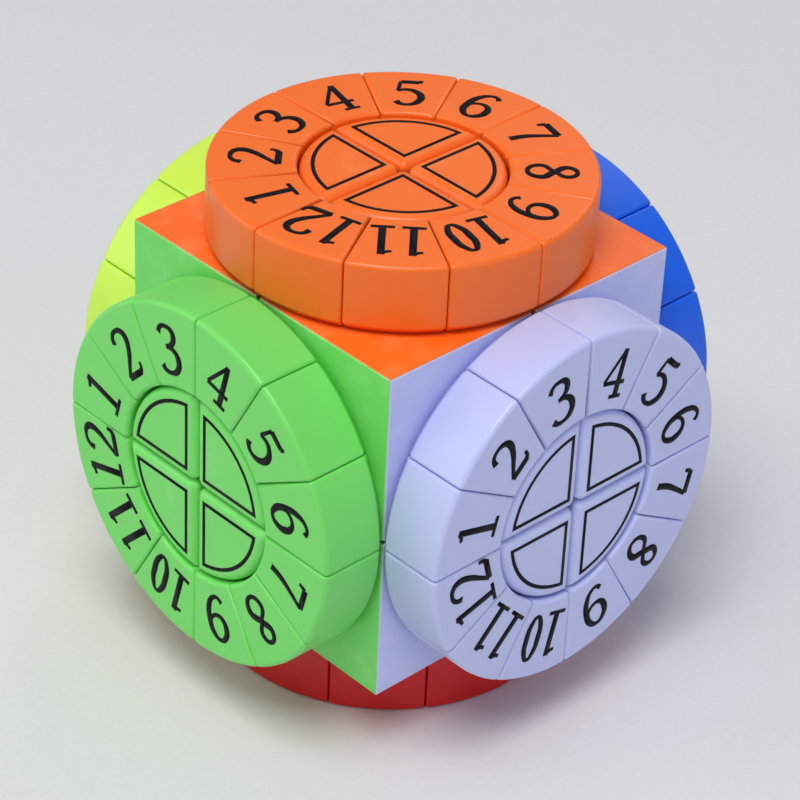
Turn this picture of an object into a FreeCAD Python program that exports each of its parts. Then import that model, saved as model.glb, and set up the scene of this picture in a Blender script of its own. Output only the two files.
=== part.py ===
import FreeCAD, Part
import math
import os

# A cube-shaped twisty puzzle of the two-by-two-by-two kind, with a thick round number wheel on
# each of its six faces. Eight corner pieces ride on a hidden ball-shaped works. Each wheel is a
# ring of twelve wedge segments whose feet run in a round slot, and in the middle of each wheel
# are four quarter caps, one on each corner piece, whose edge holds the feet down.
#
# Millimetres. The origin is the middle of the core. +Z is up, -Y is the front, +X is the right.

# Driving dimensions
CUBE_SIDE = 49.4
WHEEL_THICKNESS = 10.3
WHEEL_RADIUS = 25.5
WHEEL_UNDERCUT = 1.15       # at the wall's foot, at 45 degrees, so that neighbouring wheels clear
RIM_ROUNDING = 0.9
BORE_ROUNDING = 0.5
SEGMENTS_PER_QUADRANT = 3
SEAM_ANGLE = 0.5            # degrees, between two segments
LAYER_GAP = 0.3             # between two layers, all through the puzzle
RUNNING_GAP = 0.2           # between a segment's foot and its slot
RING_LIFT = 0.15            # from the cube's face up to a segment's underside

# Ring segments: a hollow wedge with a T-shaped foot
RING_BORE = 13.75
FOOT_INNER = 12.7
FOOT_OUTER = 18.3
FOOT_NECK_INNER = 14.2
FOOT_NECK_OUTER = 16.8
SEGMENT_WALL = 1.6
HOLLOW_INNER = 18.0

# Corner tiles and the round pocket under them
TILE_THICKNESS = 2.3
TILE_BORE = 17.0
POCKET_RADIUS = 18.5
POCKET_DEPTH = 4.5
TILE_PEG_RADIUS = 1.2
TILE_PEG_LENGTH = 2.9
TILE_PEG_PLACE = 18.0       # from both mid-planes

# Quarter caps
CAP_RADIUS = 13.5
CAP_PLUG_RADIUS = 12.3
CAP_RECESS = 0.25           # below the ring's top
CAP_WALL = 1.7
CAP_ROUNDING = 0.8
CAP_TIP_RADIUS = 0.7        # rounds off the tip at the wheel's middle
CAP_POST_RADIUS = 1.8
CAP_POST_DEPTH = 3.0
CAP_POST_PLACE = 6.5        # from both mid-planes

# Hidden works: two nested shells cut by planes, round a core
WORKS_RADIUS = 17.5
SHELL_RADIUS = 14.0         # parts the outer shell from the feet
FEET_RADIUS = 10.5
OUTER_CUT = 6.5             # the planes that cut the outer shell
FEET_CUT = 4.0              # the planes that cut the feet
CORE_BALL_RADIUS = 6.0
CORE_ARM_RADIUS = 3.4

# Screw, spring and washer in each centre piece
SCREW_RADIUS = 1.1
SCREW_TIP = 4.5
SCREW_HEAD_RADIUS = 2.6
SCREW_HEAD_HEIGHT = 1.4
CROSS_WIDTH = 0.6
CROSS_LENGTH = 3.0
CROSS_DEPTH = 0.8
CENTRE_BORE = 1.25
COUNTERBORE_RADIUS = 3.0
COUNTERBORE_FLOOR = 12.6
WASHER_BORE = 1.2
WASHER_RADIUS = 2.8
WASHER_THICKNESS = 0.4
SPRING_LENGTH = 2.0
SPRING_COILS = 3
SPRING_BORE = 1.6
SPRING_COIL_RADIUS = 1.95   # to the middle of the wire

# Worked out from the driving dimensions
FACE = CUBE_SIDE / 2
TOP = FACE + WHEEL_THICKNESS
CAP_TOP = TOP - CAP_RECESS
FRAME_FACE = FACE - TILE_THICKNESS
POCKET_FLOOR = FACE - POCKET_DEPTH
UNDERSIDE = FACE + RING_LIFT
HALF_GAP = LAYER_GAP / 2
BIG = 2 * TOP
SEGMENT_ANGLE = 90 / SEGMENTS_PER_QUADRANT

ORIGIN = FreeCAD.Vector(0, 0, 0)
X_AXIS = FreeCAD.Vector(1, 0, 0)
Y_AXIS = FreeCAD.Vector(0, 1, 0)
Z_AXIS = FreeCAD.Vector(0, 0, 1)
DIAGONAL = FreeCAD.Vector(1, 1, 1)

# A face's colour: the axis and angle that turn the top face onto it
FACES = {
    "orange": (Z_AXIS, 0),
    "red": (X_AXIS, 180),
    "green": (X_AXIS, 90),
    "blue": (X_AXIS, -90),
    "white": (Y_AXIS, 90),
    "yellow": (Y_AXIS, -90),
}

# The hidden pieces that stay with each corner: signs of where each lies, 0 for across a mid-plane
INNER_PIECES = {
    (-1, -1, -1): [(0, -1, -1), (-1, 0, -1), (-1, -1, 0), (0, 0, -1), (-1, 0, 0), (0, -1, 0)],
    (-1, -1, 1): [(0, -1, 1), (-1, 0, 1), (0, 0, 1)],
    (1, -1, 1): [(1, 0, 1)],
    (-1, 1, 1): [(0, 1, 1)],
    (1, -1, -1): [(1, 0, -1), (1, -1, 0), (1, 0, 0)],
    (-1, 1, -1): [(0, 1, -1), (-1, 1, 0), (0, 1, 0)],
    (1, 1, -1): [(1, 1, 0)],
}


def octants():
    """The signs of the eight corners."""
    return [(x, y, z) for z in (-1, 1) for y in (-1, 1) for x in (-1, 1)]


def place_words(signs):
    """Words for where a piece lies, such as up, front and right; a sign of 0 gives no word."""
    up_down = {1: ["up"], -1: ["down"], 0: []}[signs[2]]
    front_back = {1: ["back"], -1: ["front"], 0: []}[signs[1]]
    left_right = {1: ["right"], -1: ["left"], 0: []}[signs[0]]
    return up_down + front_back + left_right


def sign(value):
    """-1, 0 or 1."""
    return int(round(value) > 0) - int(round(value) < 0)


def signs_of(vector):
    """The signs of a vector's coordinates."""
    return tuple(sign(c) for c in (vector.x, vector.y, vector.z))


def turned(shape, axis, degrees):
    """A copy of a shape, turned about an axis through the origin."""
    copy = shape.copy()
    copy.rotate(ORIGIN, axis, degrees)
    return copy


def to_octant(shape, signs):
    """Turns a shape made in the octant where x, y and z are positive to another octant."""
    turns = {(1, 1): 0, (-1, 1): 90, (-1, -1): 180, (1, -1): 270}[signs[:2]]
    if signs[2] > 0:
        return turned(shape, Z_AXIS, turns)
    return turned(turned(shape, X_AXIS, 180), Z_AXIS, turns + 90)


def on_three_faces(shape):
    """A shape made for the top face of the positive octant, on all three of its faces."""
    return [turned(shape, DIAGONAL, step * 120) for step in range(3)]


def block(low, high):
    """A box from its lowest to its highest corner."""
    size = [b - a for a, b in zip(low, high)]
    return Part.makeBox(*size, FreeCAD.Vector(*low))


def rod(radius, low, high, x=0, y=0):
    """A cylinder along Z."""
    return Part.makeCylinder(radius, high - low, FreeCAD.Vector(x, y, low), Z_AXIS)


def shell(inner, outer):
    """The space between two balls round the origin."""
    return Part.makeSphere(outer).cut(Part.makeSphere(inner))


def line(start, end):
    """A straight edge in the XZ plane."""
    return Part.LineSegment(FreeCAD.Vector(start[0], 0, start[1]), FreeCAD.Vector(end[0], 0, end[1])).toShape()


def quarter_arc(centre, radius, middle_degrees):
    """A quarter circle in the XZ plane; its ends lie 45 degrees each side of the middle."""
    ends = []
    for step in (-45, 0, 45):
        angle = math.radians(middle_degrees + step)
        ends.append(FreeCAD.Vector(centre[0] + radius * math.cos(angle), 0, centre[1] + radius * math.sin(angle)))
    return Part.Arc(*ends).toShape()


def spun(edges, degrees):
    """A solid made by spinning a closed outline in the XZ plane about Z."""
    wire = Part.Wire(Part.__sortEdges__(edges))
    return Part.Face(wire).revolve(ORIGIN, Z_AXIS, degrees)


def segment():
    """One ring segment of the top wheel, next to the +X axis, in the positive octant."""
    foot_low = POCKET_FLOOR + RUNNING_GAP
    foot_high = FRAME_FACE - RUNNING_GAP
    rim = WHEEL_RADIUS - RIM_ROUNDING
    bore = RING_BORE + BORE_ROUNDING
    foot_radius = WHEEL_RADIUS - WHEEL_UNDERCUT
    corners = [
        (bore, TOP), (rim, TOP), (WHEEL_RADIUS, TOP - RIM_ROUNDING),
        (WHEEL_RADIUS, UNDERSIDE + WHEEL_UNDERCUT), (foot_radius, UNDERSIDE),
        (FOOT_NECK_OUTER, UNDERSIDE), (FOOT_NECK_OUTER, foot_high), (FOOT_OUTER, foot_high),
        (FOOT_OUTER, foot_low), (FOOT_INNER, foot_low), (FOOT_INNER, foot_high),
        (FOOT_NECK_INNER, foot_high), (FOOT_NECK_INNER, UNDERSIDE), (RING_BORE, UNDERSIDE),
        (RING_BORE, TOP - BORE_ROUNDING),
    ]
    edges = [line(a, b) for a, b in zip(corners, corners[1:]) if a != (rim, TOP)]
    edges.append(quarter_arc((rim, TOP - RIM_ROUNDING), RIM_ROUNDING, 45))
    edges.append(quarter_arc((bore, TOP - BORE_ROUNDING), BORE_ROUNDING, 135))
    wedge = turned(spun(edges, SEGMENT_ANGLE - SEAM_ANGLE), Z_AXIS, SEAM_ANGLE / 2)
    return wedge.cut(segment_hollow())


def segment_hollow():
    """The space inside one segment, open towards the cube."""
    outer = WHEEL_RADIUS - WHEEL_UNDERCUT - SEGMENT_WALL
    side_angle = SEAM_ANGLE / 2 + math.degrees(SEGMENT_WALL / HOLLOW_INNER)
    corners = [
        (HOLLOW_INNER, UNDERSIDE), (outer, UNDERSIDE),
        (outer, TOP - SEGMENT_WALL), (HOLLOW_INNER, TOP - SEGMENT_WALL),
    ]
    edges = [line(a, b) for a, b in zip(corners, corners[1:] + corners[:1])]
    return turned(spun(edges, SEGMENT_ANGLE - 2 * side_angle), Z_AXIS, side_angle)


def ring_quadrant():
    """The segments of the top wheel that lie in the positive octant."""
    one = segment()
    return [turned(one, Z_AXIS, step * SEGMENT_ANGLE) for step in range(SEGMENTS_PER_QUADRANT)]


def quarter_cap():
    """The top wheel's quarter cap in the positive octant, hollow, with a post that fits the frame."""
    shoulder = CAP_RADIUS - CAP_ROUNDING
    corners = [
        (shoulder, CAP_TOP), (0, CAP_TOP), (0, POCKET_FLOOR), (CAP_PLUG_RADIUS, POCKET_FLOOR),
        (CAP_PLUG_RADIUS, FRAME_FACE), (CAP_RADIUS, FRAME_FACE), (CAP_RADIUS, CAP_TOP - CAP_ROUNDING),
    ]
    edges = [line(a, b) for a, b in zip(corners, corners[1:])]
    edges.append(quarter_arc((shoulder, CAP_TOP - CAP_ROUNDING), CAP_ROUNDING, 45))
    outside = spun(edges, 90).common(block((HALF_GAP, HALF_GAP, 0), (BIG, BIG, BIG)))
    inside_radius = CAP_PLUG_RADIUS - CAP_WALL
    inside = rod(inside_radius, POCKET_FLOOR, CAP_TOP - CAP_WALL)
    inside = inside.common(block((CAP_WALL, CAP_WALL, 0), (BIG, BIG, BIG)))
    post = rod(CAP_POST_RADIUS, POCKET_FLOOR - CAP_POST_DEPTH, CAP_TOP - CAP_WALL, CAP_POST_PLACE, CAP_POST_PLACE)
    tip = rod(CAP_TIP_RADIUS, 0, BIG)
    return outside.cut(inside).cut(tip).fuse(post).removeSplitter()


def mitre_wedge():
    """What a tile loses along the cube's edge beside the +X face, so that two tiles meet at 45 degrees."""
    points = [(FRAME_FACE, FRAME_FACE), (BIG, FRAME_FACE), (BIG, BIG)]
    edges = [line(a, b) for a, b in zip(points, points[1:] + points[:1])]
    return Part.Face(Part.Wire(edges)).extrude(FreeCAD.Vector(0, BIG, 0))


def corner_tile():
    """The coloured tile on the top face of the positive octant's corner piece, with its peg."""
    plate = block((HALF_GAP, HALF_GAP, FRAME_FACE), (FACE, FACE, FACE))
    wedge = mitre_wedge()
    other_wedge = wedge.mirror(ORIGIN, FreeCAD.Vector(1, -1, 0))
    plate = plate.cut([rod(TILE_BORE, 0, BIG), wedge, other_wedge])
    peg = rod(TILE_PEG_RADIUS, FRAME_FACE - TILE_PEG_LENGTH, FRAME_FACE, TILE_PEG_PLACE, TILE_PEG_PLACE)
    return plate.fuse(peg)


def zone(signs, cut):
    """A box-shaped part of space: beyond the cut on each signed axis, between the cuts on the others."""
    low = []
    high = []
    for s in signs:
        near = cut + HALF_GAP if s else HALF_GAP - cut
        far = BIG if s else cut - HALF_GAP
        low.append(-far if s < 0 else near)
        high.append(-near if s < 0 else far)
    return block(low, high)


def works_piece(signs):
    """A hidden piece: its part of the outer shell, its wider foot and the neck that joins them."""
    shell_zone = zone(signs, OUTER_CUT)
    foot_zone = zone(signs, FEET_CUT)
    outer = shell(SHELL_RADIUS + HALF_GAP, WORKS_RADIUS - HALF_GAP).common(shell_zone)
    neck = shell(SHELL_RADIUS - HALF_GAP, SHELL_RADIUS + HALF_GAP).common(shell_zone).common(foot_zone)
    foot = shell(FEET_RADIUS + HALF_GAP, SHELL_RADIUS - HALF_GAP).common(foot_zone)
    return outer.fuse([neck, foot]).removeSplitter()


def along(shape, signs):
    """Turns a shape made along +Z to lie along another axis, given by its signs."""
    for axis, degrees in FACES.values():
        if signs_of(turned_vector(Z_AXIS, axis, degrees)) == signs:
            return turned(shape, axis, degrees)


def turned_vector(vector, axis, degrees):
    """A vector turned about an axis."""
    return FreeCAD.Rotation(axis, degrees).multVec(vector)


def inner_piece(signs):
    """A hidden edge piece, or a hidden centre piece with its stepped screw hole."""
    piece = works_piece(signs)
    if signs.count(0) < 2:
        return piece
    hole = rod(CENTRE_BORE, 0, COUNTERBORE_FLOOR).fuse(rod(COUNTERBORE_RADIUS, COUNTERBORE_FLOOR, BIG))
    return piece.cut(along(hole, signs))


def corner_frame():
    """The positive octant's corner piece without its tiles and caps: a block on a hooked foot."""
    body = block((HALF_GAP, HALF_GAP, HALF_GAP), (FRAME_FACE, FRAME_FACE, FRAME_FACE))
    body = body.cut(Part.makeSphere(WORKS_RADIUS + HALF_GAP))
    pocket = rod(POCKET_RADIUS, POCKET_FLOOR, BIG)
    post_hole = rod(CAP_POST_RADIUS, POCKET_FLOOR - CAP_POST_DEPTH, BIG, CAP_POST_PLACE, CAP_POST_PLACE)
    peg_hole = rod(TILE_PEG_RADIUS, FRAME_FACE - TILE_PEG_LENGTH, BIG, TILE_PEG_PLACE, TILE_PEG_PLACE)
    for cutter in (pocket, post_hole, peg_hole):
        body = body.cut(on_three_faces(cutter))
    neck = shell(WORKS_RADIUS - HALF_GAP, WORKS_RADIUS + HALF_GAP).common(zone((1, 1, 1), OUTER_CUT))
    return body.fuse([neck, works_piece((1, 1, 1))]).removeSplitter()


def six_ways(shape):
    """A shape made along +Z, once along each of the six directions."""
    return [turned(shape, axis, degrees) for axis, degrees in FACES.values()]


def core():
    """The six-armed core, with a screw hole in each arm."""
    arms = six_ways(rod(CORE_ARM_RADIUS, 0, FEET_RADIUS))
    spider = Part.makeSphere(CORE_BALL_RADIUS).fuse(arms)
    spider = spider.common(Part.makeSphere(FEET_RADIUS - HALF_GAP))
    return spider.cut(six_ways(rod(SCREW_RADIUS, SCREW_TIP, FEET_RADIUS))).removeSplitter()


def screw():
    """The top centre piece's screw, with a cross recess in its head."""
    head_low = COUNTERBORE_FLOOR + SPRING_LENGTH + WASHER_THICKNESS
    head_high = head_low + SCREW_HEAD_HEIGHT
    head = rod(SCREW_HEAD_RADIUS, head_low, head_high)
    long = CROSS_LENGTH / 2
    thin = CROSS_WIDTH / 2
    floor = head_high - CROSS_DEPTH
    slots = [block((-long, -thin, floor), (long, thin, BIG)), block((-thin, -long, floor), (thin, long, BIG))]
    return head.cut(slots).fuse(rod(SCREW_RADIUS, SCREW_TIP, head_low)).removeSplitter()


def washer():
    """The washer under the top screw's head."""
    low = COUNTERBORE_FLOOR + SPRING_LENGTH
    high = low + WASHER_THICKNESS
    return rod(WASHER_RADIUS, low, high).cut(rod(WASHER_BORE, low, high))


def spring():
    """The spring under the top washer: a sleeve with a round bulge for each coil."""
    wire_radius = SPRING_LENGTH / (2 * SPRING_COILS)
    low = COUNTERBORE_FLOOR
    high = low + SPRING_LENGTH
    edges = [
        line((SPRING_COIL_RADIUS, low), (SPRING_BORE, low)),
        line((SPRING_BORE, low), (SPRING_BORE, high)),
        line((SPRING_BORE, high), (SPRING_COIL_RADIUS, high)),
    ]
    for coil in range(SPRING_COILS):
        centre = (SPRING_COIL_RADIUS, low + wire_radius * (2 * coil + 1))
        edges.append(quarter_arc(centre, wire_radius, -45))
        edges.append(quarter_arc(centre, wire_radius, 45))
    return spun(edges, 360)


def export(name, solids):
    """Writes one node from its separate solids."""
    Part.makeCompound(solids).exportStep("parts/" + name + ".step")
    for solid in solids:
        if not solid.isValid() or len(solid.Solids) != 1:
            print("check", name, solid.isValid(), len(solid.Solids))


def export_corners():
    """Writes the eight corner frames, and each corner's three tiles and three quarter caps."""
    frame = corner_frame()
    tiles = on_three_faces(corner_tile())
    caps = on_three_faces(quarter_cap())
    for signs in octants():
        place = "_".join(place_words(signs))
        export("corner_frame_" + place, [to_octant(frame, signs)])
        export("corner_tiles_" + place, [to_octant(tile, signs) for tile in tiles])
        export("quarter_caps_" + place, [to_octant(cap, signs) for cap in caps])


def export_rings():
    """Writes the six wheels' ring segments, one node for each quarter of a ring."""
    quadrant = ring_quadrant()
    for colour, (axis, degrees) in FACES.items():
        outward = signs_of(turned_vector(Z_AXIS, axis, degrees))
        for quarter in range(4):
            middle = turned_vector(FreeCAD.Vector(1, 1, 0), Z_AXIS, quarter * 90)
            in_plane = signs_of(turned_vector(middle, axis, degrees))
            words = [word for word in place_words(in_plane) if word not in place_words(outward)]
            solids = [turned(turned(one, Z_AXIS, quarter * 90), axis, degrees) for one in quadrant]
            export("_".join([colour, "segments"] + words), solids)


def export_works():
    """Writes the hidden pieces, grouped by the corner that they stay with, and the core."""
    for signs, pieces in INNER_PIECES.items():
        place = "_".join(place_words(signs))
        export("inner_pieces_" + place, [inner_piece(one) for one in pieces])
    export("core", [core()])
    export("core_screws", six_ways(screw()))
    export("core_washers", six_ways(washer()))
    export("core_springs", six_ways(spring()))


os.makedirs("parts", exist_ok=True)
export_corners()
export_rings()
export_works()
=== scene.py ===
import math
import bmesh
import bpy
from mathutils import Matrix, Vector


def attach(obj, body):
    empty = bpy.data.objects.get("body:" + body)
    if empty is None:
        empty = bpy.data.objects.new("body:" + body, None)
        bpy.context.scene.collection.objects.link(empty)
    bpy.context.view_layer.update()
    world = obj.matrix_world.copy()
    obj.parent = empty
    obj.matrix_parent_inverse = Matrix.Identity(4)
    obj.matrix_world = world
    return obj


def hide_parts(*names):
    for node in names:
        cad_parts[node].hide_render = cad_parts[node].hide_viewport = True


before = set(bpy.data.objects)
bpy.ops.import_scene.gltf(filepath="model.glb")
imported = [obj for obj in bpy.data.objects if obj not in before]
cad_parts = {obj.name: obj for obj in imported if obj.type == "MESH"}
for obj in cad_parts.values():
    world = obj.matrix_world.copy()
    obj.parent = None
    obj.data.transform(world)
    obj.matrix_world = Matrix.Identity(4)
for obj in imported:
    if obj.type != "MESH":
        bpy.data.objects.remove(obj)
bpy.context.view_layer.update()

# The shapes below are worked out in millimetres and turned into metres as they are placed.
MM = 0.001

# Wheel, ring segments and caps
FACE = 24.7
TOP = 35.0
WHEEL_RADIUS = 25.5
WHEEL_UNDERCUT = 1.15
RING_BORE = 13.75
UNDERSIDE = 24.85
FOOT_NECK = (14.2, 16.8)
FOOT = (12.7, 18.3)
FOOT_HEIGHTS = (20.4, 22.2)
SEAM_ANGLE = 0.2
SEGMENT_ANGLE = 30.0
SEGMENT_STEPS = 10
CAP_TOP = 34.75
CAP_RADIUS = 13.5
CAP_PLUG_RADIUS = 12.3
CAP_TIP = 1.0
ARC_STEPS = 14

# Tiles on the cube's corners
TILE_FLOOR = 22.4
TILE_BORE = 17.0
POCKET_FLOOR = 20.2
HALF_GAP = 0.15
CUBE_EDGE_CHAMFER = 0.25
NOTCH = 0.3

# Roundings
RIM_ROUNDING = 0.7
SEAM_ROUNDING = 0.45
BORE_ROUNDING = 0.55
UNDERSIDE_ROUNDING = 0.2
CAP_ROUNDING = 1.2
ROUNDING_STEPS = 4
CAP_ROUNDING_STEPS = 6

# Printing
INK_HEIGHT = 0.02
INK_DEPTH = 0.03
POINT_LIFT = 0.0006
PEN_WEIGHT = 0.75
PEN_LEAST = 0.165
DIGIT_WIDENING = 1.1
STROKE_STEPS = 8
NUMBER_RADIUS = 19.15
DIGIT_SPACING = {10: 3.9, 11: 3.95, 12: 4.5}
LINE_INSET = 1.52
LINE_RADIUS = 12.0
LINE_WIDTH = 0.54

# Differences below which two lengths in millimetres, or two angles in degrees, count as the same
SMALL = 1e-4
SMALL_ANGLE = 0.01

PLASTIC_ROUGHNESS = 0.4
PLASTIC_GLOW = 0.12

# A wheel's colour: the axis and angle that turn the top wheel onto its face, and where the seam
# between numbers 3 and 4 stands on the top wheel before that turn
WHEELS = {
    "orange": ("Z", 0, 180),
    "red": ("X", 180, 90),
    "green": ("X", 90, 90),
    "blue": ("X", -90, 270),
    "white": ("Y", 90, 180),
    "yellow": ("Y", -90, 0),
}

COLOURS = {
    "orange": (255, 114, 26),
    "red": (218, 8, 10),
    "green": (118, 226, 104),
    "blue": (14, 98, 234),
    "white": (198, 205, 254),
    "yellow": (206, 246, 84),
}

# Pen strokes of each digit in millimetres from its middle: (x, y, half of the pen's width).
# A stroke's kind is "line" for straight runs, "curve" for a smooth one and "loop" for a closed one.
SIX = [
    ("curve", [(1.3, 2.55, 0.3), (0.75, 3.2, 0.2), (-0.15, 3.1, 0.22), (-1.15, 1.8, 0.4),
               (-1.5, -0.5, 0.5), (-1.15, -2.35, 0.42), (0, -3.25, 0.2), (1.15, -2.45, 0.4),
               (1.45, -1.15, 0.5), (1.0, 0.1, 0.35), (0.15, 0.5, 0.2), (-0.9, 0.05, 0.15),
               (-1.4, -0.8, 0.12)]),
]
DIGITS = {
    "0": [
        ("loop", [(0, 3.25, 0.18), (0.78, 2.2, 0.36), (1.02, 0, 0.46), (0.78, -2.2, 0.36),
                  (0, -3.25, 0.18), (-0.78, -2.2, 0.36), (-1.02, 0, 0.46), (-0.78, 2.2, 0.36)]),
    ],
    "1": [
        ("line", [(0.1, 3.4, 0.42), (0.1, -3.3, 0.45)]),
        ("curve", [(0.1, 3.25, 0.2), (-0.45, 2.75, 0.2), (-1.1, 2.55, 0.12)]),
        ("line", [(-1.3, -3.25, 0.17), (1.45, -3.25, 0.17)]),
    ],
    "2": [
        ("curve", [(-1.45, 1.75, 0.4), (-1.1, 2.8, 0.25), (0.0, 3.25, 0.2), (1.15, 2.7, 0.4),
                   (1.4, 1.7, 0.5), (0.85, 0.2, 0.4), (-0.5, -1.6, 0.25), (-1.6, -3.0, 0.16)]),
        ("line", [(-1.6, -3.0, 0.4), (1.35, -3.0, 0.4)]),
        ("curve", [(1.2, -2.95, 0.34), (1.6, -2.6, 0.2), (1.8, -1.8, 0.1)]),
    ],
    "3": [
        ("curve", [(-1.45, 2.15, 0.36), (-0.95, 3.0, 0.22), (0.05, 3.25, 0.2), (1.1, 2.7, 0.4),
                   (1.25, 1.8, 0.46), (0.6, 0.75, 0.3), (-0.4, 0.42, 0.15)]),
        ("curve", [(-0.4, 0.36, 0.15), (0.75, 0.15, 0.3), (1.55, -1.2, 0.5), (1.0, -2.75, 0.4),
                   (-0.25, -3.25, 0.2), (-1.2, -2.95, 0.3), (-1.6, -2.35, 0.46)]),
    ],
    "4": [
        ("line", [(0.7, 3.4, 0.34), (0.7, -3.3, 0.44)]),
        ("line", [(0.7, 3.35, 0.14), (-1.8, -1.2, 0.14)]),
        ("line", [(-1.85, -1.3, 0.2), (1.75, -1.3, 0.2)]),
        ("line", [(-0.3, -3.28, 0.15), (1.7, -3.28, 0.15)]),
    ],
    "5": [
        ("line", [(-1.0, 3.0, 0.4), (1.25, 3.0, 0.36)]),
        ("line", [(1.2, 2.9, 0.3), (1.55, 3.5, 0.12)]),
        ("line", [(-1.05, 3.1, 0.14), (-1.35, 0.5, 0.14)]),
        ("curve", [(-1.35, 0.5, 0.14), (-0.45, 0.9, 0.25), (0.65, 0.6, 0.36), (1.5, -0.8, 0.5),
                   (1.1, -2.45, 0.42), (-0.1, -3.25, 0.2), (-1.05, -3.0, 0.3),
                   (-1.5, -2.4, 0.46)]),
    ],
    "6": SIX,
    "7": [
        ("line", [(-1.55, 2.95, 0.42), (1.6, 2.95, 0.42)]),
        ("line", [(-1.5, 2.9, 0.3), (-1.75, 1.75, 0.1)]),
        ("curve", [(1.6, 2.95, 0.2), (0.75, 0.9, 0.28), (0.0, -1.4, 0.42), (-0.2, -3.35, 0.46)]),
    ],
    "8": [
        ("loop", [(0, 3.25, 0.2), (-1.1, 2.0, 0.42), (0, 0.3, 0.5), (1.35, -1.55, 0.48),
                  (0, -3.25, 0.2), (-1.4, -1.6, 0.34), (0, 0.3, 0.2), (1.1, 2.0, 0.36)]),
    ],
    "9": [(kind, [(-x, -y, pen) for x, y, pen in points]) for kind, points in SIX],
}


# Materials

class Shade:
    """A socket of a material's nodes. Arithmetic on it adds Math nodes."""

    def __init__(self, tree, socket=None):
        self.tree = tree
        self.socket = socket

    def node(self, kind, settings, inputs, output=0):
        """Adds a node, its settings first, and gives one of its outputs."""
        made = self.tree.nodes.new(kind)
        for name, value in settings.items():
            if name == "stops":
                for stop, (position, level) in zip(made.color_ramp.elements, value):
                    stop.position = position
                    stop.color = (level, level, level, 1)
            else:
                setattr(made, name, value)
        for name, value in inputs.items():
            if isinstance(value, Shade):
                self.tree.links.new(value.socket, made.inputs[name])
            else:
                made.inputs[name].default_value = value
        return Shade(self.tree, made.outputs[output]) if made.outputs else None

    def maths(self, operation, first, second):
        return self.node("ShaderNodeMath", {"operation": operation}, {0: first, 1: second})

    def __add__(self, other):
        return self.maths("ADD", self, other)

    def __sub__(self, other):
        return self.maths("SUBTRACT", self, other)

    def __rsub__(self, other):
        return self.maths("SUBTRACT", other, self)

    def __mul__(self, other):
        return self.maths("MULTIPLY", self, other)

    __radd__ = __add__
    __rmul__ = __mul__

    def noise(self, place, scale, detail):
        inputs = {"Vector": place, "Scale": scale, "Detail": detail}
        return self.node("ShaderNodeTexNoise", {}, inputs, "Fac")

    def ramp(self, value, low, high):
        settings = {"stops": ((low, 0), (high, 1))}
        return self.node("ShaderNodeValToRGB", settings, {"Fac": value})

    def mix(self, amount, first, second):
        inputs = {0: amount, 6: first, 7: second}
        return self.node("ShaderNodeMix", {"data_type": "RGBA"}, inputs, 2)


def linear(colour, brightness=1.0):
    """A screen colour, 0 to 255, as the shader wants it."""
    levels = []
    for level in colour:
        level = level / 255
        levels.append(level / 12.92 if level <= 0.04045 else ((level + 0.055) / 1.055) ** 2.4)
    return tuple(min(1.0, level * brightness) for level in levels) + (1.0,)


def begin(name):
    """An empty material and the wrapper that its nodes are made with."""
    material = bpy.data.materials.new(name)
    material.use_nodes = True
    material.node_tree.nodes.clear()
    return material, Shade(material.node_tree)


def finish_material(shade, inputs):
    """The shader itself, with what has been worked out linked to it."""
    surface = shade.node("ShaderNodeBsdfPrincipled", {}, inputs)
    shade.node("ShaderNodeOutputMaterial", {}, {"Surface": surface})


def moulded_plastic(name, colour, roughness, glow):
    """Moulded plastic: faint flow clouds, a fine spark-eroded grain, and edges rubbed smooth and made
    paler, partly as wear and partly as a painted highlight.
    """
    material, shade = begin(name)
    place = shade.node("ShaderNodeTexCoord", {}, {}, "Object")
    clouds = shade.noise(place, 90, 3)
    grain = shade.noise(place, 2600, 2)
    pores = shade.noise(place, 7000, 1)
    handling = shade.ramp(shade.noise(place, 260, 5), 0.46, 0.68)
    pointiness = shade.node("ShaderNodeNewGeometry", {}, {}, "Pointiness")
    # Convex edges where the handling noise is high: rubbed smoother and made paler, partly as wear and
    # partly as a painted highlight along the edges
    worn_edge_and_highlight = shade.ramp(pointiness, 0.52, 0.62) * handling
    tint = shade.mix(clouds, linear(colour, 0.95), linear(colour, 1.04))
    # The paler tone mixed onto those edges is partly rubbed wear and partly a painted highlight
    paler_for_wear_and_highlight = tuple(0.7 * level + 76 for level in colour)
    rubbed_and_highlit_tint = shade.mix(worn_edge_and_highlight * 0.35, tint, linear(paler_for_wear_and_highlight))
    height = grain * 0.7 + pores * 0.3
    bump = shade.node("ShaderNodeBump", {}, {"Strength": 0.22, "Distance": 0.00006, "Height": height})
    rough = clouds * 0.06 + grain * 0.08 + handling * 0.06 - worn_edge_and_highlight * 0.1 + (roughness - 0.1)
    finish_material(shade, {
        "Base Color": rubbed_and_highlit_tint, "Roughness": rough, "Normal": bump,
        "Subsurface Weight": glow, "Subsurface Radius": (1.0, 1.0, 1.0), "Subsurface Scale": 0.0012,
        "IOR": 1.52,
    })
    return material


def printing_ink():
    """Printed ink: near black, a little uneven and duller than the plastic."""
    material, shade = begin("ink")
    place = shade.node("ShaderNodeTexCoord", {}, {}, "Object")
    cover = shade.noise(place, 900, 4)
    specks = shade.noise(place, 5200, 2)
    colour = shade.mix(cover, linear((7, 6, 12)), linear((17, 16, 24)))
    bump = shade.node("ShaderNodeBump", {}, {"Strength": 0.2, "Distance": 0.00003, "Height": specks})
    rough = cover * 0.12 + specks * 0.08 + 0.42
    finish_material(shade, {
        "Base Color": colour, "Roughness": rough, "Normal": bump, "Specular IOR Level": 0.12,
    })
    return material


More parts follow.
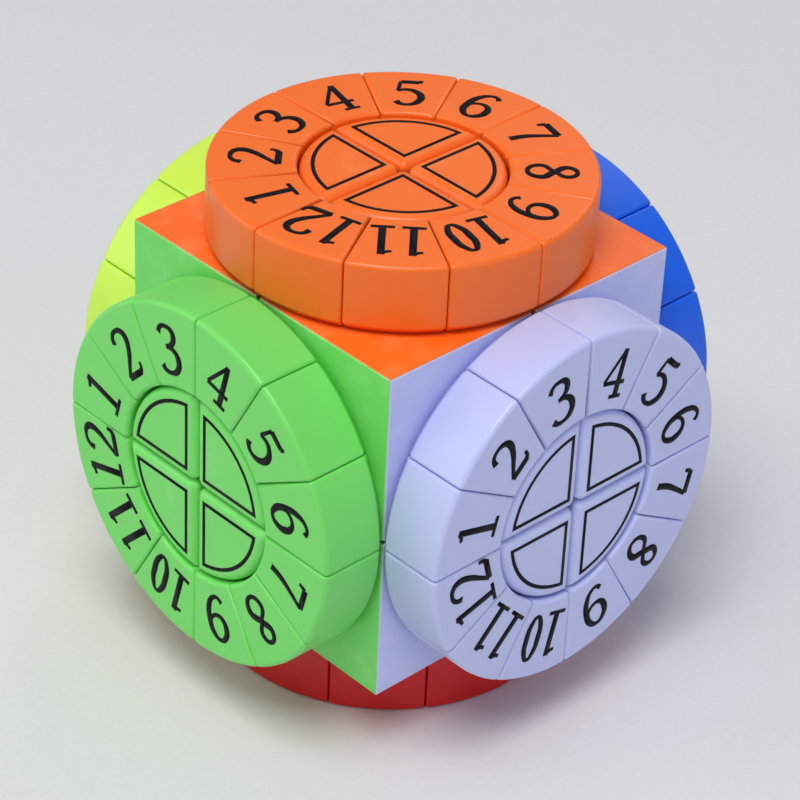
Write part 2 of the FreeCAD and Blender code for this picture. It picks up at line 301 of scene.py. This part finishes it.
def steel(name, colour, roughness, scale):
    """Bright wire or screw steel with fine drawing marks and dull spots."""
    material, shade = begin(name)
    place = shade.node("ShaderNodeTexCoord", {}, {}, "Object")
    spots = shade.noise(place, 700, 4)
    marks = shade.noise(place, scale, 2)
    tint = shade.mix(spots, linear(colour, 0.85), linear(colour, 1.1))
    bump = shade.node("ShaderNodeBump", {}, {"Strength": 0.25, "Distance": 0.00003, "Height": marks})
    rough = spots * 0.15 + marks * 0.1 + roughness
    finish_material(shade, {"Base Color": tint, "Roughness": rough, "Normal": bump, "Metallic": 1.0})
    return material


def paper_floor():
    """A pale, plain sheet with a barely seen tooth."""
    material, shade = begin("floor")
    place = shade.node("ShaderNodeTexCoord", {}, {}, "Object")
    tooth = shade.noise(place, 1500, 3)
    tint = shade.mix(tooth, linear((222, 222, 224)), linear((230, 230, 232)))
    bump = shade.node("ShaderNodeBump", {}, {"Strength": 0.08, "Distance": 0.0001, "Height": tooth})
    finish_material(shade, {"Base Color": tint, "Roughness": 0.7, "Normal": bump})
    return material


# Placing pieces

def wheel_turn(colour):
    """What turns a shape made on the top wheel onto the wheel of this colour."""
    axis, degrees, _ = WHEELS[colour]
    return Matrix.Rotation(math.radians(degrees), 4, axis)


def about_wheel(degrees):
    return Matrix.Rotation(math.radians(degrees), 4, "Z")


def place_words(direction):
    """up, back, right and so on, for the axes that a direction leaves the middle along."""
    words = []
    for level, above, below in ((direction.z, "up", "down"), (direction.y, "back", "front"),
                                (direction.x, "right", "left")):
        if abs(level) > 0.1:
            words.append(above if level > 0 else below)
    return "_".join(words)


def quadrant_of(colour, degrees):
    """The words for the quarter of a wheel that an angle on it falls in."""
    angle = math.radians(degrees)
    return place_words(wheel_turn(colour) @ Vector((math.cos(angle), math.sin(angle), 0)))


def corner_of(colour, degrees):
    """The words for the corner piece under that quarter."""
    angle = math.radians(degrees)
    return place_words(wheel_turn(colour) @ Vector((math.cos(angle), math.sin(angle), 1)))


def add_piece(name, bm, turn, material, smooth=True):
    """Turns a shape in millimetres into a finished piece, with its place in its mesh."""
    bmesh.ops.transform(bm, matrix=Matrix.Scale(MM, 4) @ turn, verts=bm.verts)
    bmesh.ops.recalc_face_normals(bm, faces=bm.faces)
    for face in bm.faces:
        face.smooth = smooth
    mesh = bpy.data.meshes.new(name)
    bm.to_mesh(mesh)
    bm.free()
    mesh.materials.append(material)
    piece = bpy.data.objects.new(name, mesh)
    bpy.context.scene.collection.objects.link(piece)
    return piece


def round_edges(piece, width):
    """Rounds a piece's marked edges; a mark of 1 gives the full width."""
    rounding = piece.modifiers.new("rounding", "BEVEL")
    rounding.limit_method = "WEIGHT"
    rounding.width = width * MM
    rounding.segments = ROUNDING_STEPS
    rounding.use_clamp_overlap = False
    rounding.harden_normals = True


# Ring segments

def segment_share(a, b):
    """How much of the rim's rounding the edge of a ring segment between two points gets."""
    if min(a.z, b.z) < UNDERSIDE - SMALL:
        return 0.0
    angle_a = math.degrees(math.atan2(a.y, a.x))
    angle_b = math.degrees(math.atan2(b.y, b.x))
    along_radius = abs(angle_a - angle_b) < SMALL_ANGLE
    at_seam = abs(abs(angle_a - SEGMENT_ANGLE / 2) - (SEGMENT_ANGLE - SEAM_ANGLE) / 2) < SMALL_ANGLE
    radius_a = math.hypot(a.x, a.y)
    radius_b = math.hypot(b.x, b.y)
    if along_radius:
        low = max(a.z, b.z) < UNDERSIDE + SMALL
        hidden = low or max(radius_a, radius_b) < RING_BORE + SMALL
        return SEAM_ROUNDING / RIM_ROUNDING if at_seam and not hidden else 0.0
    if a.z > TOP - SMALL:
        return 1.0 if radius_a > WHEEL_RADIUS - SMALL else BORE_ROUNDING / RIM_ROUNDING
    if radius_a > WHEEL_RADIUS - SMALL:
        return UNDERSIDE_ROUNDING / RIM_ROUNDING
    return 0.0


def segment_shape():
    """A wedge with a T-shaped foot, spun from its outline, beside the +X axis."""
    low, high = FOOT_HEIGHTS
    outline = [
        (RING_BORE, TOP), (WHEEL_RADIUS, TOP), (WHEEL_RADIUS, UNDERSIDE + WHEEL_UNDERCUT),
        (WHEEL_RADIUS - WHEEL_UNDERCUT, UNDERSIDE), (FOOT_NECK[1], UNDERSIDE),
        (FOOT_NECK[1], high), (FOOT[1], high), (FOOT[1], low), (FOOT[0], low), (FOOT[0], high),
        (FOOT_NECK[0], high), (FOOT_NECK[0], UNDERSIDE), (RING_BORE, UNDERSIDE),
    ]
    bm = bmesh.new()
    bm.faces.new([bm.verts.new((radius, 0, height)) for radius, height in outline])
    bmesh.ops.spin(
        bm, geom=bm.verts[:] + bm.edges[:] + bm.faces[:], cent=(0, 0, 0), axis=(0, 0, 1),
        angle=math.radians(SEGMENT_ANGLE - SEAM_ANGLE), steps=SEGMENT_STEPS,
    )
    bmesh.ops.rotate(bm, cent=(0, 0, 0), matrix=Matrix.Rotation(math.radians(SEAM_ANGLE / 2), 3, "Z"),
                     verts=bm.verts)
    marks = bm.edges.layers.float.new("bevel_weight_edge")
    for edge in bm.edges:
        edge[marks] = segment_share(edge.verts[0].co, edge.verts[1].co)
    return bm


def number_angle(colour, number):
    """Where the middle of a number's segment stands on the top wheel, in degrees."""
    return (WHEELS[colour][2] - (number - 3.5) * SEGMENT_ANGLE) % 360


def add_segment(colour, number, material):
    middle = number_angle(colour, number)
    words = quadrant_of(colour, middle)
    turn = wheel_turn(colour) @ about_wheel(middle - SEGMENT_ANGLE / 2)
    piece = add_piece(f"{colour}_segment_{number}", segment_shape(), turn, material)
    round_edges(piece, RIM_ROUNDING)
    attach(piece, f"{colour}_ring_{words}")
    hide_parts(f"{colour}_segments_{words}")


# Printed numbers

def add_stroke(curve, kind, points, shift, lift):
    """One pen stroke: a spline whose radius is half the pen's width, and which climbs a little from
    point to point so that it never lies level with itself where it crosses."""
    spline = curve.splines.new("BEZIER")
    spline.bezier_points.add(len(points) - 1)
    spline.use_cyclic_u = kind == "loop"
    handle = "VECTOR" if kind == "line" else "AUTO"
    for order, (point, (x, y, pen)) in enumerate(zip(spline.bezier_points, points)):
        point.co = (x * DIGIT_WIDENING + shift, y, lift + order * POINT_LIFT)
        point.radius = pen * PEN_WEIGHT + PEN_LEAST
        point.tilt = math.radians(90)
        point.handle_left_type = handle
        point.handle_right_type = handle


def number_shape(number):
    """The number's strokes as thin raised ink, upright round the origin."""
    curve = bpy.data.curves.new("strokes", "CURVE")
    curve.dimensions = "3D"
    curve.twist_mode = "Z_UP"
    curve.resolution_u = STROKE_STEPS
    # A point's radius multiplies this, and so is half the stroke's width in millimetres there.
    curve.extrude = 1.0
    text = str(number)
    lift = 0.0
    for place, digit in enumerate(text):
        shift = (place - (len(text) - 1) / 2) * DIGIT_SPACING.get(number, 0)
        for kind, points in DIGITS[digit]:
            add_stroke(curve, kind, points, shift, lift)
            lift += len(points) * POINT_LIFT
    strokes = bpy.data.objects.new("strokes", curve)
    bpy.context.scene.collection.objects.link(strokes)
    bpy.context.view_layer.update()
    mesh = bpy.data.meshes.new_from_object(strokes.evaluated_get(bpy.context.evaluated_depsgraph_get()))
    bm = bmesh.new()
    bm.from_mesh(mesh)
    bpy.data.objects.remove(strokes)
    bpy.data.curves.remove(curve)
    bpy.data.meshes.remove(mesh)
    bmesh.ops.remove_doubles(bm, verts=bm.verts, dist=SMALL)
    raised = bmesh.ops.extrude_face_region(bm, geom=bm.faces[:])
    moved = [v for v in raised["geom"] if isinstance(v, bmesh.types.BMVert)]
    bmesh.ops.translate(bm, vec=(0, 0, INK_HEIGHT + INK_DEPTH), verts=moved)
    return bm


def add_number(colour, number, material):
    middle = number_angle(colour, number)
    words = quadrant_of(colour, middle)
    place = Matrix.Translation((0, NUMBER_RADIUS, TOP - INK_DEPTH))
    turn = wheel_turn(colour) @ about_wheel(middle - 90) @ place
    piece = add_piece(f"{colour}_number_{number}", number_shape(number), turn, material)
    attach(piece, f"{colour}_ring_{words}")
    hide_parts(f"{colour}_segments_{words}")


# Quarter caps and their printed lines

def quarter_outline(bm, radius, side, height):
    """The rim of a quarter disc, from beside +X to beside +Y, as a row of points."""
    start = math.asin(side / radius)
    first = bm.verts.new((radius * math.cos(start), side, height))
    bmesh.ops.spin(bm, geom=[first], cent=(0, 0, 0), axis=(0, 0, 1),
                   angle=math.pi / 2 - 2 * start, steps=ARC_STEPS)
    bmesh.ops.remove_doubles(bm, verts=bm.verts, dist=SMALL)
    return sorted(bm.verts, key=lambda v: math.atan2(v.co.y, v.co.x))


def deepen(bm, faces, depth):
    """Extrudes faces straight down and gives the new faces and points."""
    edges = list({edge for face in faces for edge in face.edges})
    made = bmesh.ops.extrude_face_region(bm, geom=faces + edges)["geom"]
    points = [v for v in made if isinstance(v, bmesh.types.BMVert)]
    bmesh.ops.translate(bm, vec=(0, 0, -depth), verts=points)
    return [f for f in made if isinstance(f, bmesh.types.BMFace)], points


def dome(bm, face, rounding):
    """Carries a flat face up over a rounded shoulder, as high and as wide as the rounding."""
    for step in range(CAP_ROUNDING_STEPS):
        start = math.radians(90 * step / CAP_ROUNDING_STEPS)
        end = math.radians(90 * (step + 1) / CAP_ROUNDING_STEPS)
        face.normal_update()
        bmesh.ops.inset_region(
            bm, faces=[face], thickness=rounding * (math.cos(start) - math.cos(end)),
            depth=rounding * (math.sin(end) - math.sin(start)), use_even_offset=True, use_boundary=True,
        )


def cap_shape():
    """A quarter disc with its tip cut off and a rounded shoulder, and a narrower plug under it."""
    shoulder = CAP_TOP - CAP_ROUNDING
    bm = bmesh.new()
    rim = quarter_outline(bm, CAP_RADIUS, HALF_GAP, shoulder)
    tip = [bm.verts.new((HALF_GAP, CAP_TIP, shoulder)), bm.verts.new((CAP_TIP, HALF_GAP, shoulder))]
    face = bm.faces.new(rim + tip)
    faces, _ = deepen(bm, [face], shoulder - TILE_FLOOR)
    faces, points = deepen(bm, faces, 0)
    for point in points:
        if math.hypot(point.co.x, point.co.y) > CAP_PLUG_RADIUS:
            point.co.x = max(HALF_GAP, point.co.x * CAP_PLUG_RADIUS / CAP_RADIUS)
            point.co.y = max(HALF_GAP, point.co.y * CAP_PLUG_RADIUS / CAP_RADIUS)
    deepen(bm, faces, TILE_FLOOR - POCKET_FLOOR)
    bmesh.ops.recalc_face_normals(bm, faces=bm.faces)
    dome(bm, max(bm.faces, key=lambda face: face.calc_center_median().z), CAP_ROUNDING)
    return bm


def line_shape():
    """The printed outline on a quarter cap, as thin raised ink."""
    bm = bmesh.new()
    rim = quarter_outline(bm, LINE_RADIUS, LINE_INSET, CAP_TOP + INK_HEIGHT)
    face = bm.faces.new(rim + [bm.verts.new((LINE_INSET, LINE_INSET, CAP_TOP + INK_HEIGHT))])
    face.normal_update()
    bmesh.ops.inset_region(bm, faces=[face], thickness=LINE_WIDTH, use_even_offset=True,
                           use_boundary=True)
    bmesh.ops.delete(bm, geom=[face], context="FACES")
    deepen(bm, bm.faces[:], INK_HEIGHT + INK_DEPTH)
    return bm


def add_cap(colour, quarter, material, ink):
    angle = quarter * 90 + 45
    words = quadrant_of(colour, angle)
    corner = corner_of(colour, angle)
    turn = wheel_turn(colour) @ about_wheel(quarter * 90)
    cap = add_piece(f"{colour}_cap_{words}", cap_shape(), turn, material)
    cap.modifiers.new("shading", "WEIGHTED_NORMAL")
    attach(cap, f"corner_{corner}")
    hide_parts(f"quarter_caps_{corner}")
    line = add_piece(f"{colour}_cap_line_{words}", line_shape(), turn, ink)
    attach(line, f"corner_{corner}")
    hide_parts(f"quarter_caps_{corner}")


# Corner tiles

def widen(points, old, new):
    """Moves a tile's outer sides from one distance to another, and leaves nothing beyond them."""
    for point in points:
        for axis in (0, 1):
            level = point.co[axis]
            point.co[axis] = new if abs(level - old) < SMALL else min(level, new)


def tile_shape():
    """A plate round the wheel's bore, mitred on the cube's edges and notched where they are cut."""
    bm = bmesh.new()
    bore = quarter_outline(bm, TILE_BORE, HALF_GAP, FACE)
    edge = FACE - CUBE_EDGE_CHAMFER
    middle = FACE - CUBE_EDGE_CHAMFER / 2
    outer = [(HALF_GAP, edge - NOTCH), (HALF_GAP + NOTCH, edge), (edge, edge),
             (edge, HALF_GAP + NOTCH), (edge - NOTCH, HALF_GAP)]
    face = bm.faces.new(bore + [bm.verts.new((x, y, FACE)) for x, y in outer])
    faces, points = deepen(bm, [face], CUBE_EDGE_CHAMFER / 2)
    widen(points, edge, middle)
    faces, points = deepen(bm, faces, middle - TILE_FLOOR)
    widen(points, middle, TILE_FLOOR)
    return bm


def add_tile(colour, quarter, material):
    angle = quarter * 90 + 45
    corner = corner_of(colour, angle)
    turn = wheel_turn(colour) @ about_wheel(quarter * 90)
    name = f"{colour}_tile_{quadrant_of(colour, angle)}"
    tile = add_piece(name, tile_shape(), turn, material, smooth=False)
    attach(tile, f"corner_{corner}")
    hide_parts(f"corner_tiles_{corner}")


# Parts kept from the frame

def dress_frame_parts():
    """Gives the hidden works their finishes."""
    finishes = {
        "corner_frame": moulded_plastic("frame_plastic", (26, 26, 29), 0.46, 0.0),
        "inner_pieces": moulded_plastic("works_plastic", (176, 178, 182), 0.42, 0.0),
        "core_screws": steel("screw_steel", (176, 174, 170), 0.22, 3800),
        "core_washers": steel("washer_steel", (188, 187, 184), 0.26, 2600),
        "core_springs": steel("spring_steel", (168, 170, 174), 0.2, 5200),
    }
    finishes["core"] = finishes["inner_pieces"]
    for name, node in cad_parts.items():
        starts = [start for start in finishes if name.startswith(start)]
        if starts:
            node.data.materials.clear()
            node.data.materials.append(finishes[max(starts, key=len)])


# Stage

CAMERA_PLACE = (0.25134, -0.24549, 0.23557)
CAMERA_AIM = (0.00122, 0.00017, -0.00112)
CAMERA_ROLL = 2.757
CAMERA_LENS = 141.12
SENSOR_WIDTH = 36
FLOOR_SIDE = 6.0
FLOOR_GAP = 0.05
SKY_COLOUR = (0.9, 0.93, 1.0, 1)
SKY_STRENGTH = 0.3

# A light's name: its place and side in metres, its watts and its colour
LIGHTS = {
    "key": ((0.2, -0.34, 0.85), 0.45, 5.5, (1.0, 0.98, 0.95)),
    "fill_right": ((0.85, 0.05, 0.4), 0.6, 0.7, (0.92, 0.95, 1.0)),
    "fill_left": ((-0.6, -0.6, 0.4), 0.6, 2.0, (1.0, 0.99, 0.97)),
    "back": ((-0.3, 0.8, 0.6), 0.6, 1.2, (1.0, 1.0, 1.0)),
}


def add_camera():
    """The camera, looking down on the corner between the green and the white wheel."""
    data = bpy.data.cameras.new("camera")
    data.lens = CAMERA_LENS
    data.sensor_width = SENSOR_WIDTH
    camera = bpy.data.objects.new("camera", data)
    bpy.context.scene.collection.objects.link(camera)
    look = (Vector(CAMERA_AIM) - Vector(CAMERA_PLACE)).to_track_quat("-Z", "Y").to_matrix().to_4x4()
    roll = Matrix.Rotation(math.radians(CAMERA_ROLL), 4, "Z")
    camera.matrix_world = Matrix.Translation(CAMERA_PLACE) @ look @ roll
    bpy.context.scene.camera = camera


def add_light(name, place, side, power, colour):
    """A square light that faces the middle of the puzzle."""
    data = bpy.data.lights.new(name, "AREA")
    data.shape = "SQUARE"
    data.size = side
    data.energy = power
    data.color = colour
    light = bpy.data.objects.new(name, data)
    bpy.context.scene.collection.objects.link(light)
    look = (-Vector(place)).to_track_quat("-Z", "Y").to_matrix().to_4x4()
    light.matrix_world = Matrix.Translation(place) @ look


def add_stage():
    """The floor, just under the wheel that the puzzle stands on, the sky and the lights."""
    bm = bmesh.new()
    bmesh.ops.create_grid(bm, x_segments=1, y_segments=1, size=FLOOR_SIDE / 2 / MM)
    turn = Matrix.Translation((0, 0, -TOP - FLOOR_GAP))
    add_piece("floor", bm, turn, paper_floor())
    world = bpy.data.worlds.new("studio")
    world.use_nodes = True
    background = world.node_tree.nodes["Background"]
    background.inputs["Color"].default_value = SKY_COLOUR
    background.inputs["Strength"].default_value = SKY_STRENGTH
    bpy.context.scene.world = world
    bpy.context.scene.view_settings.view_transform = "Standard"
    for name, (place, side, power, colour) in LIGHTS.items():
        add_light(name, place, side, power, colour)


def build():
    """The whole puzzle, wheel by wheel, and then the parts kept from the frame."""
    ink = printing_ink()
    for colour, tone in COLOURS.items():
        plastic = moulded_plastic(f"{colour}_plastic", tone, PLASTIC_ROUGHNESS, PLASTIC_GLOW)
        for number in range(1, 13):
            add_segment(colour, number, plastic)
            add_number(colour, number, ink)
        for quarter in range(4):
            add_cap(colour, quarter, plastic, ink)
            add_tile(colour, quarter, plastic)
    dress_frame_parts()


build()
add_stage()
add_camera()
